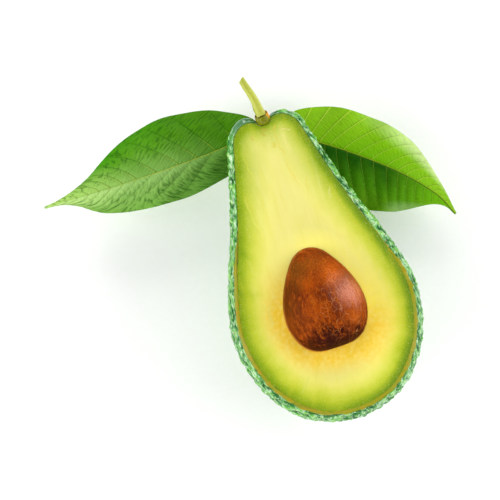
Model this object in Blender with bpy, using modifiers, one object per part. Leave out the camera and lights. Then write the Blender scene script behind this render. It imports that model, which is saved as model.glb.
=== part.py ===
"""Half an avocado, cut lengthwise and lying on its back, with its seed, stem, stem button and two leaves.

Metres, +Z up. The cut face looks up and is level. +Y runs along the fruit to its stem end. The origin is the
middle of the small flat spot that the half rests on. Places along the fruit count from its blossom end.
"""

import math
import random

import bmesh
import bpy
import numpy as np
from mathutils import Matrix, Vector

# The fruit, as half-widths at places along it, from the blossom end to the bottom of the stem end's dimple
FRUIT_OUTLINE = (
    (0.0, 0.0),
    (0.0172, 0.0050),
    (0.0279, 0.0163),
    (0.0329, 0.0290),
    (0.0340, 0.0420),
    (0.0302, 0.0575),
    (0.0243, 0.0730),
    (0.0197, 0.0870),
    (0.0161, 0.0995),
    (0.0133, 0.1083),
    (0.0075, 0.1120),
    (0.0, 0.1088),
)
REST_ALONG = 0.0445  # the place along the fruit that it rests on
AXIS_HEIGHT = 0.0339  # of the fruit's middle line above the floor, in the belly
NECK_RISE = 0.0045  # of the middle line, from belly to neck
NECK_RISE_SPAN = (0.038, 0.106)
FRONT_FLATNESS = 0.57  # height over half-width of a section, above the middle line
BACK_FULLNESS = 0.22  # extra depth of the back where belly passes into neck
BACK_FULLEST_ALONG = 0.070
BACK_FULLNESS_SPREAD = 0.020
CUT_HEIGHT = 0.0414  # of the cut face above the floor

GAP = 0.0003  # between neighbouring pieces
SKIN_THICKNESS = 0.0012
SKIN_OVER_SPOT = 0.0008  # skin left under the flesh where the half rests
PEBBLES = 1400  # on a whole fruit
PEBBLE_DEPTH = 0.0007
PEBBLE_JITTER = 0.45  # of the spacing between pebbles
PEBBLE_SEED = 7

SEED_OUTLINE = (
    (0.0, 0.0),
    (0.0072, 0.0006),
    (0.0118, 0.0042),
    (0.0143, 0.0105),
    (0.0142, 0.0165),
    (0.0122, 0.0230),
    (0.0088, 0.0290),
    (0.0048, 0.0337),
    (0.0, 0.0356),
)
SEED_ALONG = 0.0265  # its blunt end
SEED_SIDE = 0.0003
SEED_SUNK = 0.0024  # of its middle line below the cut face

BUTTON_OUTLINE = (
    (0.0, -0.0023),
    (0.0016, -0.0020),
    (0.0026, -0.0006),
    (0.0026, 0.0009),
    (0.0022, 0.0017),
)
BUTTON_CUP_RADIUS = 0.0019
BUTTON_CUP_DEPTH = 0.0010
BUTTON_ALONG = 0.1106
BUTTON_SUNK = 0.0004  # of its middle below the cut face

# The stem's line from the bottom of the button's cup: sideways, along from the button's middle, and up
STEM_LINE = (
    (0.0, 0.0007, 0.0),
    (-0.0003, 0.0042, 0.0002),
    (-0.0010, 0.0085, 0.0006),
    (-0.0027, 0.0146, 0.0014),
)
STEM_RADII = (0.0016, 0.00142, 0.00131, 0.00126)
STEM_CUT_SLANT = math.radians(24)  # of its cut end, seen from above

# A leaf's petiole leaves the underside of the stem at a distance from the button's cup, and its blade
# follows its rib from base to tip: sideways, along the fruit, and up from the floor. Its margins, on the left
# and on the right as seen from the base, are half-widths at shares of the rib's length. Falls say how far the
# margins hang below the rib, as a share of those half-widths.
LEAVES = {
    "leaf_left": {
        "from_cup": 0.0066,
        "petiole": (
            (-0.0002, 0.1165, 0.0320),
            (0.0006, 0.1150, 0.0250),
            (0.0018, 0.1132, 0.0205),
            (0.0022, 0.1116, 0.0188),
        ),
        "rib": (
            (0.0012, 0.1107, 0.0185),
            (-0.0120, 0.1085, 0.0195),
            (-0.0320, 0.1072, 0.0205),
            (-0.0580, 0.1074, 0.0175),
            (-0.0842, 0.1087, 0.0110),
        ),
        "margins": (
            (
                (0.0, 0.0004),
                (0.04, 0.0045),
                (0.10, 0.0072),
                (0.22, 0.0098),
                (0.36, 0.0112),
                (0.50, 0.0112),
                (0.62, 0.0101),
                (0.69, 0.0092),
                (0.75, 0.0078),
                (0.80, 0.0056),
                (0.85, 0.0030),
                (0.92, 0.0009),
                (1.0, 0.0004),
            ),
            (
                (0.0, 0.0004),
                (0.03, 0.0052),
                (0.08, 0.0092),
                (0.17, 0.0142),
                (0.27, 0.0173),
                (0.38, 0.0189),
                (0.50, 0.0178),
                (0.60, 0.0152),
                (0.70, 0.0106),
                (0.78, 0.0062),
                (0.86, 0.0031),
                (0.94, 0.0011),
                (1.0, 0.0004),
            ),
        ),
        "falls": (0.50, 0.20),
    },
    "leaf_right": {
        "from_cup": 0.0036,
        "petiole": ((0.0002, 0.1142, 0.0330), (0.0018, 0.1122, 0.0262), (0.0038, 0.1098, 0.0208)),
        "rib": (
            (0.0058, 0.1078, 0.0180),
            (0.0120, 0.1040, 0.0175),
            (0.0270, 0.0937, 0.0175),
            (0.0437, 0.0802, 0.0150),
            (0.0545, 0.0680, 0.0115),
            (0.0588, 0.0588, 0.0090),
        ),
        "margins": (
            (
                (0.0, 0.0004),
                (0.03, 0.0055),
                (0.08, 0.0090),
                (0.20, 0.0129),
                (0.32, 0.0143),
                (0.44, 0.0142),
                (0.54, 0.0137),
                (0.63, 0.0123),
                (0.71, 0.0096),
                (0.81, 0.0055),
                (0.91, 0.0021),
                (1.0, 0.0004),
            ),
            (
                (0.0, 0.0004),
                (0.03, 0.0058),
                (0.10, 0.0100),
                (0.22, 0.0138),
                (0.36, 0.0163),
                (0.48, 0.0170),
                (0.57, 0.0162),
                (0.68, 0.0133),
                (0.75, 0.0104),
                (0.81, 0.0072),
                (0.87, 0.0038),
                (0.94, 0.0010),
                (1.0, 0.0004),
            ),
        ),
        "falls": (0.20, 0.32),
    },
}
LEAF_THICKNESS = 0.0007
LEAF_SIDE_VEINS = 12
LEAF_COLUMNS = 5  # of faces from rib to margin
LEAF_SWEEP = 0.62  # how far the side veins lean to the tip
LEAF_ARCH = 1.2  # how late they do so, from rib to margin
LEAF_FOLD = 0.4  # share of a margin's fall that is a straight fold along the rib
LEAF_RELIEF = 0.0003  # of the side veins and the blade between them
LEAF_WAVE = 0.0009  # of the margin, up and down
LEAF_WAVES = 4.5
PETIOLE_RADIUS = 0.0009
RIB_TIP_RADIUS = 0.00045
RIB_SUNK = 0.00045  # of the rib's middle below the blade's
RIB_END = 0.90  # share of the blade's length that the rib's ridge reaches
RIB_STEPS = 10

COLOURS = {
    "skin": ((0.05, 0.22, 0.05, 1.0), 0.35),
    "flesh": ((0.72, 0.70, 0.16, 1.0), 0.45),
    "seed": ((0.25, 0.07, 0.02, 1.0), 0.40),
    "stem": ((0.52, 0.55, 0.09, 1.0), 0.55),
    "stem_button": ((0.35, 0.26, 0.03, 1.0), 0.50),
    "leaf_left": ((0.09, 0.28, 0.02, 1.0), 0.40),
    "leaf_right": ((0.13, 0.36, 0.02, 1.0), 0.40),
}
# Fineness of round bodies, and of smooth curves between two given points
TURNED_SEGMENTS = 32
SEED_SEGMENTS = 28
BUTTON_SEGMENTS = 20
CURVE_STEPS = 2
ROD_STEPS = 4
FINE_STEPS = 8
FAR = 0.2  # beyond every piece


def empty_scene():
    for thing in list(bpy.data.objects):
        bpy.data.objects.remove(thing)


def new_collection(name):
    made = bpy.data.collections.new(name)
    bpy.context.scene.collection.children.link(made)
    return made


def new_object(name, mesh, collection):
    made = bpy.data.objects.new(name, mesh)
    collection.objects.link(made)
    return made


def mesh_from(bm, name, closed=True):
    if closed:
        bmesh.ops.recalc_face_normals(bm, faces=bm.faces)
    mesh = bpy.data.meshes.new(name)
    bm.to_mesh(mesh)
    bm.free()
    return mesh


def evaluated_mesh(thing):
    depsgraph = bpy.context.evaluated_depsgraph_get()
    return bpy.data.meshes.new_from_object(thing.evaluated_get(depsgraph))


def paint(part):
    colour, roughness = COLOURS[part.name]
    finish = bpy.data.materials.new(part.name)
    finish.use_nodes = True
    shader = finish.node_tree.nodes["Principled BSDF"]
    shader.inputs["Base Color"].default_value = colour
    shader.inputs["Roughness"].default_value = roughness
    shader.inputs["Metallic"].default_value = 0.0
    part.data.materials.clear()
    part.data.materials.append(finish)
    part.data.shade_smooth()


def combine(part, other, operation):
    """Cuts other out of the part, or joins it on, with a live Boolean."""
    boolean = part.modifiers.new(f"{operation.lower()} {other.name}", "BOOLEAN")
    boolean.operation = operation
    boolean.object = other
    boolean.solver = "EXACT"


def as_tool(thing):
    """Marks an object that only cuts or joins, and isn't a piece itself."""
    thing.hide_render = True
    thing.display_type = "WIRE"
    return thing


def smooth_curve(points, steps=CURVE_STEPS, turned=False):
    """Points on the curve through the given ones. A turned outline starts and ends square to its axis."""
    given = [Vector(p) for p in points]
    if turned:
        before = Vector((-given[1].x, given[1].y))
        after = Vector((-given[-2].x, given[-2].y))
    else:
        before = 2 * given[0] - given[1]
        after = 2 * given[-1] - given[-2]
    held = [before, *given, after]
    made = []
    for a, b, c, d in zip(held, held[1:], held[2:], held[3:]):
        for step in range(steps):
            t = step / steps
            bend = (2 * a - 5 * b + 4 * c - d) * t * t + (3 * b - a - 3 * c + d) * t**3
            made.append((2 * b + (c - a) * t + bend) / 2)
    made.append(given[-1])
    return made


class Line:
    """A smooth curve, read by the share of its length from its start."""

    def __init__(self, points, steps=FINE_STEPS, turned=False):
        self.points = smooth_curve(points, steps, turned)
        self.lengths = [0.0]
        for a, b in zip(self.points, self.points[1:]):
            self.lengths.append(self.lengths[-1] + (b - a).length)

    def at(self, share):
        """The point there, and the curve's direction."""
        wanted = min(max(share, 0.0), 1.0) * self.lengths[-1]
        index = 1
        while index < len(self.lengths) - 1 and self.lengths[index] < wanted:
            index += 1
        start, end = self.points[index - 1], self.points[index]
        stretch = self.lengths[index] - self.lengths[index - 1]
        part = (wanted - self.lengths[index - 1]) / stretch
        return start.lerp(end, part), (end - start).normalized()


def offset_outline(outline, distance):
    """A turned outline moved outwards, or inwards if the distance is negative, along its own normals."""
    moved = []
    for index, point in enumerate(outline):
        along = outline[min(index + 1, len(outline) - 1)] - outline[max(index - 1, 0)]
        normal = Vector((along.y, -along.x)).normalized()
        if index in (0, len(outline) - 1):
            normal = Vector((0.0, -1.0 if index == 0 else 1.0))
        moved.append(point + distance * normal)
    return moved


def turned_mesh(name, outline, segments=TURNED_SEGMENTS):
    """A closed body turned about the Y axis from an outline of (half-width, place along)."""
    profile = bpy.data.meshes.new(name)
    corners = [(p.x, p.y, 0.0) for p in outline]
    profile.from_pydata(corners, [(i, i + 1) for i in range(len(corners) - 1)], [])
    blank = new_object(name, profile, bpy.context.scene.collection)
    screw = blank.modifiers.new("turn", "SCREW")
    screw.axis = "Y"
    screw.steps = segments
    screw.render_steps = segments
    screw.use_merge_vertices = True
    screw.merge_threshold = 0.00001
    bm = bmesh.new()
    bm.from_mesh(evaluated_mesh(blank))
    bpy.data.objects.remove(blank)
    bmesh.ops.remove_doubles(bm, verts=bm.verts, dist=0.000001)
    return mesh_from(bm, name)


def smoothstep(value, low, high):
    t = min(max((value - low) / (high - low), 0.0), 1.0)
    return t * t * (3 - 2 * t)


def laid_down(point, floor=None):
    """Takes a point of the round fruit, turned about Y, to its place in the fruit that lies on its back."""
    x, along, z = point
    middle = AXIS_HEIGHT + NECK_RISE * smoothstep(along, *NECK_RISE_SPAN)
    if z > 0:
        height = middle + z * FRONT_FLATNESS
    else:
        off = (along - BACK_FULLEST_ALONG) / BACK_FULLNESS_SPREAD
        height = middle + z * (1 + BACK_FULLNESS * math.exp(-off * off))
    if floor is not None:
        height = max(height, floor)
    return Vector((x, along - REST_ALONG, height))


def fruit_body(name, inset, floor):
    """The whole fruit's smooth body, inset from its outside, with its underside no lower than floor."""
    outline = offset_outline(smooth_curve(FRUIT_OUTLINE, turned=True), -inset)
    mesh = turned_mesh(name, outline)
    for vertex in mesh.vertices:
        vertex.co = laid_down(vertex.co, floor)
    return mesh


def pebble_directions():
    """Directions spread evenly round the fruit by the golden angle, then shaken a little."""
    draw = random.Random(PEBBLE_SEED)
    golden = math.pi * (3 - math.sqrt(5))
    shake = PEBBLE_JITTER * math.sqrt(4 * math.pi / PEBBLES)
    for index in range(PEBBLES):
        along = 1 - 2 * (index + 0.5) / PEBBLES
        across = math.sqrt(1 - along * along)
        turn = golden * index
        direction = Vector((across * math.cos(turn), along, across * math.sin(turn)))
        nudge = Vector([draw.uniform(-0.5, 0.5) for _ in range(3)])
        yield (direction + shake * nudge).normalized()


def pebbled_body(name):
    """The whole fruit's outside: a net of pebbles, each a low cone between valleys."""
    bm = bmesh.new()
    for direction in pebble_directions():
        bm.verts.new(direction)
    bmesh.ops.convex_hull(bm, input=bm.verts)
    tops = set(bm.verts)
    ties = list(bm.edges)
    bmesh.ops.poke(bm, faces=bm.faces)
    bmesh.ops.rotate_edges(bm, edges=ties)
    outline = Line([(width, along) for width, along in FRUIT_OUTLINE], turned=True)
    for vertex in bm.verts:
        direction = vertex.co.normalized()
        place, heading = outline.at(math.acos(-direction.y) / math.pi)
        around = math.atan2(direction.z, direction.x)
        sunk = 0.0 if vertex in tops else PEBBLE_DEPTH
        width = place.x - sunk * heading.y
        along = place.y + sunk * heading.x
        vertex.co = laid_down((width * math.cos(around), along, width * math.sin(around)))
    return mesh_from(bm, name)


def block(name, low, high, tools):
    """A box between two corners, for cutting."""
    bm = bmesh.new()
    bmesh.ops.create_cube(bm, size=1.0)
    low, high = Vector(low), Vector(high)
    bmesh.ops.scale(bm, vec=high - low, verts=bm.verts)
    bmesh.ops.translate(bm, vec=(low + high) / 2, verts=bm.verts)
    return as_tool(new_object(name, mesh_from(bm, name), tools))


def seed_mesh(name, extra=0.0):
    outline = offset_outline(smooth_curve(SEED_OUTLINE, turned=True), extra)
    mesh = turned_mesh(name, outline, SEED_SEGMENTS)
    place = Vector((SEED_SIDE, SEED_ALONG - REST_ALONG, CUT_HEIGHT - SEED_SUNK))
    for vertex in mesh.vertices:
        vertex.co = vertex.co + place
    return mesh


def button_place():
    return Vector((0.0, BUTTON_ALONG - REST_ALONG, CUT_HEIGHT - BUTTON_SUNK))


def button_mesh(name, extra=0.0, cup=True):
    """The button as a small ball, with a cup in its top that the stem stands in."""
    side = smooth_curve(BUTTON_OUTLINE)
    rim = side[-1].y
    if cup:
        floor = rim - BUTTON_CUP_DEPTH
        inside = [Vector((BUTTON_CUP_RADIUS, rim)), Vector((BUTTON_CUP_RADIUS, floor)), Vector((0.0, floor))]
    else:
        inside = [Vector((0.0, rim))]
    outline = offset_outline(side + inside, extra) if extra else side + inside
    mesh = turned_mesh(name, outline, BUTTON_SEGMENTS)
    for vertex in mesh.vertices:
        vertex.co = vertex.co + button_place()
    return mesh


def tube_mesh(name, points, radii, resolution):
    """A round rod along the points, thicker or thinner from one to the next, with welded end caps."""
    line = bpy.data.curves.new(name, "CURVE")
    line.dimensions = "3D"
    line.bevel_depth = 1.0
    line.bevel_resolution = resolution
    line.use_fill_caps = True
    spline = line.splines.new("POLY")
    spline.points.add(len(points) - 1)
    for control, point, radius in zip(spline.points, points, radii):
        control.co = (*point, 1.0)
        control.radius = radius
    rod = new_object(name, line, bpy.context.scene.collection)
    bm = bmesh.new()
    bm.from_mesh(evaluated_mesh(rod))
    bpy.data.objects.remove(rod)
    bmesh.ops.remove_doubles(bm, verts=bm.verts, dist=0.000001)
    return mesh_from(bm, name)


def stem_points():
    """The stem's own line, from the bottom of the button's cup."""
    start = button_place() + Vector((0.0, GAP, 0.0))
    return smooth_curve([start + Vector(p) for p in STEM_LINE], ROD_STEPS)


def stem_mesh(name):
    points = stem_points()
    radii = [p.x for p in smooth_curve([(radius, 0.0) for radius in STEM_RADII], ROD_STEPS)]
    heading = (points[-1] - points[-2]).normalized()
    end = points[-1]
    points.append(end + 2 * STEM_RADII[-1] * heading)
    radii.append(radii[-1])
    bm = bmesh.new()
    bm.from_mesh(tube_mesh(name, points, radii, resolution=3))
    slanted = Matrix.Rotation(STEM_CUT_SLANT, 3, "Z") @ heading
    everything = bm.verts[:] + bm.edges[:] + bm.faces[:]
    cut = bmesh.ops.bisect_plane(bm, geom=everything, plane_co=end, plane_no=slanted, clear_outer=True)
    rim = [edge for edge in cut["geom_cut"] if isinstance(edge, bmesh.types.BMEdge)]
    bmesh.ops.holes_fill(bm, edges=rim, sides=0)
    return mesh_from(bm, name)


def blade_mesh(name, rib, shape):
    """A blade whose rows of points follow its side veins, which arch from the rib to the margin."""
    margins = [smooth_curve(stations, FINE_STEPS) for stations in shape["margins"]]
    widest = [max(point.y for point in margin) for margin in margins]
    rows = 2 * LEAF_SIDE_VEINS + 2
    bm = bmesh.new()
    bmesh.ops.create_grid(bm, x_segments=rows, y_segments=2 * LEAF_COLUMNS, size=1.0)
    for vertex in bm.verts:
        row = round((vertex.co.x + 1) / 2 * rows)
        across = vertex.co.y
        out = abs(across)
        side = 0 if across > 0 else 1
        share = row / rows
        share += LEAF_SWEEP * out**LEAF_ARCH * share * (1 - share)
        middle, heading = rib.at(share)
        left = Vector((-heading.y, heading.x, 0.0)).normalized()
        shares, widths = zip(*margins[side])
        width = np.interp(share, shares, widths)
        breadth = width / widest[side]
        fall = shape["falls"][side] * width * breadth * (LEAF_FOLD * out + (1 - LEAF_FOLD) * out**2)
        relief = LEAF_RELIEF * (1 if row % 2 else -1) * math.sin(math.pi * out) * breadth**2
        wave = LEAF_WAVE * out**3 * breadth**2 * math.sin(2 * math.pi * LEAF_WAVES * share + 2 * side)
        vertex.co = middle + left * across * width + Vector((0.0, 0.0, relief + wave - fall))
    bmesh.ops.triangulate(bm, faces=bm.faces)
    return mesh_from(bm, name, closed=False)


def placed(point):
    """Takes a point of a leaf, along the fruit from its blossom end, to the part's own frame."""
    return Vector((point[0], point[1] - REST_ALONG, point[2]))


def leaf(name, parts, tools):
    """A leaf whose petiole hangs from the underside of the stem and runs on as the blade's rib."""
    shape = LEAVES[name]
    rib = Line([placed(p) for p in shape["rib"]])
    made = new_object(name, blade_mesh(name, rib, shape), parts)
    solidify = made.modifiers.new("thickness", "SOLIDIFY")
    solidify.thickness = LEAF_THICKNESS
    solidify.offset = 0.0
    stem = Line(stem_points())
    joint = stem.at(shape["from_cup"] / stem.lengths[-1])[0]
    start = joint - Vector((0.0, 0.0, max(STEM_RADII) + GAP))
    drop = Vector((0.0, 0.0, -RIB_SUNK))
    along_rib = [rib.at(RIB_END * step / RIB_STEPS)[0] + drop for step in range(RIB_STEPS + 1)]
    points = smooth_curve([start, *[placed(p) for p in shape["petiole"]], along_rib[0]], ROD_STEPS)
    radii = [PETIOLE_RADIUS] * len(points)
    for step, point in enumerate(along_rib[1:], 1):
        points.append(point)
        radii.append(PETIOLE_RADIUS + (RIB_TIP_RADIUS - PETIOLE_RADIUS) * step / RIB_STEPS)
    ridge = new_object(f"{name}_rib", tube_mesh(f"{name}_rib", points, radii, resolution=2), tools)
    combine(made, as_tool(ridge), "UNION")
    paint(made)


def main():
    empty_scene()
    parts = new_collection("avocado_half")
    tools = new_collection("cutters")
    above_cut = block("above_cut", (-FAR, -FAR, CUT_HEIGHT), (FAR, FAR, FAR), tools)
    below_floor = block("below_floor", (-FAR, -FAR, -FAR), (FAR, FAR, 0.0), tools)
    hollow_mesh = fruit_body("skin_hollow", SKIN_THICKNESS, SKIN_OVER_SPOT)
    hollow = as_tool(new_object("skin_hollow", hollow_mesh, tools))
    socket_mesh = button_mesh("button_socket", GAP, cup=False)
    socket = as_tool(new_object("button_socket", socket_mesh, tools))
    cavity = as_tool(new_object("seed_cavity", seed_mesh("seed_cavity", GAP), tools))

    skin = new_object("skin", pebbled_body("skin"), parts)
    for cutter in (hollow, above_cut, below_floor, socket):
        combine(skin, cutter, "DIFFERENCE")
    paint(skin)

    flesh = new_object("flesh", fruit_body("flesh", SKIN_THICKNESS + GAP, SKIN_OVER_SPOT + GAP), parts)
    for cutter in (above_cut, cavity, socket):
        combine(flesh, cutter, "DIFFERENCE")
    paint(flesh)

    paint(new_object("seed", seed_mesh("seed"), parts))
    paint(new_object("stem_button", button_mesh("stem_button"), parts))
    paint(new_object("stem", stem_mesh("stem"), parts))
    for name in LEAVES:
        leaf(name, parts, tools)


main()
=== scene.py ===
"""Half an avocado with its seed, stem, stem button and two leaves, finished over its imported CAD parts.

Metres, +Z up. The cut face is level, and +Y runs along the fruit to its stem end. Places along the fruit
count from its blossom end, and REST_ALONG takes them to the frame's own origin.
"""

import math

import bpy
import numpy as np
from mathutils import Matrix, Vector, kdtree, noise


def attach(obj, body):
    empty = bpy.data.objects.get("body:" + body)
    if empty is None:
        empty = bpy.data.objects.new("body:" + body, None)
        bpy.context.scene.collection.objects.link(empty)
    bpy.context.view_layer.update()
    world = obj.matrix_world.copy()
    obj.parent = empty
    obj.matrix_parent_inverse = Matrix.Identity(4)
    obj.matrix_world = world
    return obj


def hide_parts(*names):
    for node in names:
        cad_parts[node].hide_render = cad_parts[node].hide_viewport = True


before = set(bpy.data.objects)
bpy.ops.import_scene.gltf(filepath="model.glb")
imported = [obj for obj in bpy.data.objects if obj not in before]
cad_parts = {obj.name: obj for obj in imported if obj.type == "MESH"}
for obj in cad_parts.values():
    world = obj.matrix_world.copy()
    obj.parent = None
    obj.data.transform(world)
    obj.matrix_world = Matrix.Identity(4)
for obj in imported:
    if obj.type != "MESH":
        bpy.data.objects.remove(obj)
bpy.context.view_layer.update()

# Camera
# It stands half a metre above the cut face and looks almost straight down on it through a long lens. It is
# turned so that the fruit leans to the left, with the stem end at the upper left.
LENS = 110
SENSOR_WIDTH = 36
LOOK_AT = Vector((-0.01846, 0.0235, 0.0414))
LOOK_FROM = Vector((-0.0335, -0.0708, 1.0)).normalized()
CAMERA_DISTANCE = 0.5347
CAMERA_ROLL = math.radians(18.5)


def add_object(name, operator, **settings):
    """A new object, alone in the selection, with its data under the same name."""
    bpy.ops.object.select_all(action="DESELECT")
    operator(**settings)
    made = bpy.context.object
    made.name = made.data.name = name
    return made


camera = add_object("camera", bpy.ops.object.camera_add)
camera.data.lens = LENS
camera.data.sensor_width = SENSOR_WIDTH
upward = (Vector((0, 1, 0)) - LOOK_FROM.y * LOOK_FROM).normalized()
sideways = upward.cross(LOOK_FROM)
right = math.cos(CAMERA_ROLL) * sideways - math.sin(CAMERA_ROLL) * upward
up = math.cos(CAMERA_ROLL) * upward + math.sin(CAMERA_ROLL) * sideways
camera.matrix_world = Matrix((right, up, LOOK_FROM)).transposed().to_4x4()
camera.location = LOOK_AT + CAMERA_DISTANCE * LOOK_FROM
bpy.context.scene.camera = camera
bpy.context.scene.view_settings.view_transform = "Standard"

# Light
# A pale room gives a third of the light and is dim straight overhead, where the camera hangs. Tall soft boxes
# at the left and right put the pale sheen on the skin and model the seed, and two more light the leaves.
ROOM_STRENGTH = 0.76
CEILING_SHARE = 0.12  # of that strength
CEILING_EDGE = (0.5, 0.9)  # rise of the direction, level 0 to overhead 1, over which the room dims
SOFT_BOXES = {  # place, width and height, power
    "right_box": ((0.52, -0.05, 0.27), (0.60, 0.42), 2.9),
    "left_box": ((-0.56, 0.06, 0.27), (0.60, 0.42), 3.4),
    "blossom_box": ((-0.15, -0.70, 0.22), (0.60, 0.30), 2.6),
    "stem_box": ((0.20, 0.75, 0.35), (0.60, 0.30), 3.0),
}


def colour(hexed):
    """The linear colour of an sRGB hex value."""
    parts = [int(hexed[place:place + 2], 16) / 255 for place in (1, 3, 5)]
    return (*[p / 12.92 if p <= 0.04045 else ((p + 0.055) / 1.055) ** 2.4 for p in parts], 1.0)


def add_node(material, kind, *values, stops=(), **settings):
    """Adds a node with its settings. Values go to its live sockets in order, or by name from a dictionary.

    Each is a number, a vector, a hex colour, or another node or socket, which is linked. Mix mixes colours.
    """
    node = material.node_tree.nodes.new("ShaderNode" + kind)
    if kind == "Mix":
        settings = {"data_type": "RGBA", **settings}
    for name, value in settings.items():
        setattr(node, name, value)
    live = [socket for socket in node.inputs if socket.enabled]
    if values and isinstance(values[0], dict):
        live = [next(socket for socket in live if socket.name == name) for name in values[0]]
        values = values[0].values()
    for socket, value in zip(live, values):
        if isinstance(value, bpy.types.Node):
            value = next(s for s in value.outputs if s.enabled)
        if isinstance(value, bpy.types.NodeSocket):
            material.node_tree.links.new(value, socket)
        else:
            socket.default_value = colour(value) if isinstance(value, str) else value
    if stops:
        ends = node.color_ramp.elements
        ends[0].position, ends[0].color = stops[0][0], colour(stops[0][1])
        ends[1].position, ends[1].color = stops[-1][0], colour(stops[-1][1])
        for place, paint in stops[1:-1]:
            ends.new(place).color = colour(paint)
    return node


def empty_tree(holder):
    """A material or world with no nodes but its coordinates, and their Object output."""
    holder.use_nodes = True
    holder.node_tree.nodes.clear()
    return holder, add_node(holder, "TexCoord").outputs["Object"]


room, way = empty_tree(bpy.data.worlds.new("white_room"))
_, _, overhead = add_node(room, "SeparateXYZ", way).outputs
strength = add_node(room, "MapRange", overhead, *CEILING_EDGE, ROOM_STRENGTH, ROOM_STRENGTH * CEILING_SHARE)
glow = add_node(room, "Background", "#ffffff", strength)
add_node(room, "OutputWorld", glow)
bpy.context.scene.world = room
for name, (place, (width, height), power) in SOFT_BOXES.items():
    box = add_object(name, bpy.ops.object.light_add, type="AREA", location=place)
    box.rotation_euler = (LOOK_AT - Vector(place)).to_track_quat("-Z", "Y").to_euler()
    box.data.shape = "RECTANGLE"
    box.data.size = width
    box.data.size_y = height
    box.data.energy = power

# Floor
# A sheet of smooth white board that runs past the view on every side. The real one is matt, so it takes only
# soft, faint shadows.
FLOOR_SIDE = 3.0

# White board: a fine, even grain that only dulls it, so the eye sees plain white.
board, spot = empty_tree(bpy.data.materials.new("white_board"))
grain = add_node(board, "TexNoise", spot, 1 / 0.002)
shade = add_node(board, "ValToRGB", grain, stops=((0.3, "#fcfcfb"), (0.7, "#fefefe")))
surface = add_node(board, "BsdfPrincipled", {"Base Color": shade, "Roughness": 0.9})
add_node(board, "OutputMaterial", surface)

floor = add_object("floor", bpy.ops.mesh.primitive_plane_add, size=FLOOR_SIDE, location=(0, 0, 0))
floor.data.materials.append(board)

# Skin
# The peel of a pebbled avocado, about a millimetre thick, tough and waxy, with oval pebbles some two
# millimetres apart. The knife took it off level with the flesh and left its edge as a thin olive line.
FRUIT_OUTLINE = (  # half width, and place along the fruit
    (0.0, 0.0), (0.0172, 0.0050), (0.0279, 0.0163), (0.0329, 0.0290), (0.0340, 0.0420), (0.0302, 0.0575),
    (0.0243, 0.0730), (0.0197, 0.0870), (0.0161, 0.0995), (0.0133, 0.1083), (0.0075, 0.1120), (0.0, 0.1088),
)
OUTLINE_STEPS = 24  # of the curve from each of its points to the next
REST_ALONG = 0.0445
AXIS_HEIGHT = 0.0339
NECK_RISE = 0.0045
NECK_RISE_SPAN = (0.038, 0.106)
FRONT_FLATNESS = 0.57
BACK_FULLNESS = 0.22
BACK_FULLEST_ALONG = 0.070
BACK_FULLNESS_SPREAD = 0.020
CUT_HEIGHT = 0.0414
SKIN_THICKNESS = 0.0012
SKIN_THINNEST = 0.0001  # behind the deepest valleys and where it rolls over the cut edge
SKIN_AT_REST = 0.0008  # its thickness over the flat spot
SKIN_FINENESS = (74, 1)  # cuts of a cube's sides, then of their parts
HOLLOW_FINENESS = (39, 0)
PEBBLE_TRIES = 16000  # places that are tried for one, in turn
PEBBLE_GAPS = (0.0014, 0.0028)  # least distance of a pebble from those before it
PEBBLE_HALF_LENGTH = 0.0020
PEBBLE_HALF_WIDTH = 0.00125
PEBBLE_SIZES = (0.7, 1.4)  # as shares of those
PEBBLE_SLANTS = (5, 50)  # of a pebble's length from the fruit's, in degrees
PEBBLE_NEIGHBOURS = 8
PEBBLE_DEPTH = 0.0008
PEBBLE_HEIGHTS = (0.45, 1.0)  # as shares of that
PEBBLE_LIFT = 0.0003  # of the tallest pebble above the plain outline
PEBBLE_SEED = 7
DOT_SHARE = 0.55  # of the pebbles, with a yellow or rust dot near one end
DOT_STRENGTHS = (0.6, 1.0)
DOT_PLACE = 0.45  # from the pebble's middle towards that end
DOT_RADIUS = 0.0005
SMOOTH_PLACE = (-0.0032, 0.1115 - REST_ALONG, CUT_HEIGHT - 0.001)  # of the smooth shoulder beside the stem
SMOOTH_REACH = (0.0062, 0.0105)  # from it, over which the pebbles come back
SMOOTH_PEBBLES = 0.12  # their share of full depth on it
LIP_DEPTH = (0.0002, 0.0013)  # below the cut, over which the pebbles begin
LIP_PEBBLES = 0.55  # their share of full depth at the cut
NECK_SIDES = (-0.012, 0.012)  # across the fruit, where the next two lengths hold
NECK_STARTS = (0.062, 0.043)  # along the fruit's left and right sides, where the cut edge begins to thin
NECK_REACH = 0.020  # over which it thins and the peel rolls over it
NECK_EDGE = 0.00025  # thickness of the cut edge there
ROLL_DEPTH = 0.0027
ROLL_EASING = 0.35  # share of the pebbles' depth that goes as the peel rolls over
SHOULDERS = ((-0.0048, 0.0034, 0.0016), (0.0044, 0.0028, 0.0010))  # place across, spread, height
SHOULDER_DEPTHS = (0.0, 0.0016, 0.0042, 0.0075)  # below the cut, where one swells, is full and has ended
SHOULDERS_FROM = 0.1  # along the fruit
BUTTON_PLACE = np.array((0.0004, 0.1106 - REST_ALONG, CUT_HEIGHT - 0.0004))
BUTTON_OUTLINE = ((0.0, -0.0023), (0.0016, -0.0020), (0.0026, -0.0006), (0.0027, 0.0009), (0.0025, 0.0017))
SOCKET_CLEARANCE = 0.00015
SOCKET_COLUMNS = 48


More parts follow.
